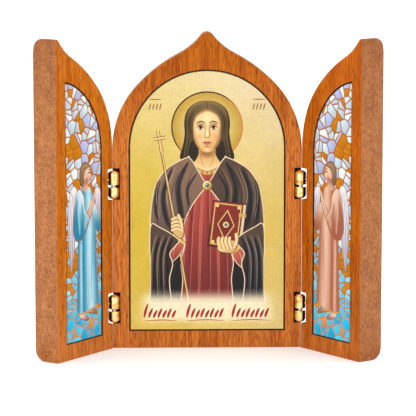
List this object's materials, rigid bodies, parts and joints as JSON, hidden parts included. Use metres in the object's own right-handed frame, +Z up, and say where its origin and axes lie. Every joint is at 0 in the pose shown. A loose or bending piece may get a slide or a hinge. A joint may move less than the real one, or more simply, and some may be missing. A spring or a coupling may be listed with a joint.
{
  "type": "table triptych",
  "caption": "Small hinged table triptych: an arched centre leaf and two folding half wings of veneered board, each with a let-in picture.",
  "frame": {"origin": "on the surface it stands on, under the middle of the centre leaf's width and thickness", "axes": "+Z up, the centre leaf's picture faces -Y, the two wings are swung forward towards -Y on the -X and +X sides"},
  "size_m": [0.1476, 0.0448, 0.138],
  "materials": {
    "board": "warm stained veneer, satin lacquer",
    "centre_print": "gold-ground print under satin varnish",
    "left_print": "mosaic-ground print under satin varnish",
    "right_print": "mosaic-ground print under satin varnish",
    "hinge_brass": "polished, pale",
    "hinge_pin": "plain drawn wire"
  },
  "bodies": {
    "centre_leaf": {"centre_panel": "board", "centre_picture": "centre_print", "upper_left_hinge_bottom_barrel": "hinge_brass", "upper_left_hinge_pin": "hinge_pin", "lower_left_hinge_bottom_barrel": "hinge_brass", "lower_left_hinge_pin": "hinge_pin", "upper_right_hinge_bottom_barrel": "hinge_brass", "upper_right_hinge_pin": "hinge_pin", "lower_right_hinge_bottom_barrel": "hinge_brass", "lower_right_hinge_pin": "hinge_pin"},
    "left_wing": {"left_wing_panel": "board", "left_wing_picture": "left_print", "upper_left_hinge_top_barrel": "hinge_brass", "lower_left_hinge_top_barrel": "hinge_brass"},
    "right_wing": {"right_wing_panel": "board", "right_wing_picture": "right_print", "upper_right_hinge_top_barrel": "hinge_brass", "lower_right_hinge_top_barrel": "hinge_brass"}
  },
  "joints": [
    {"name": "left_wing_hinge", "type": "hinge", "parent": "centre_leaf", "child": "left_wing", "pos_m": [-0.0405, -0.00615, 0], "axis": [0, 0, 1], "range_deg": [-54.5, 125.5]},
    {"name": "right_wing_hinge", "type": "hinge", "parent": "centre_leaf", "child": "right_wing", "pos_m": [0.0405, -0.00615, 0], "axis": [0, 0, -1], "range_deg": [-54.5, 125.5]}
  ]
}
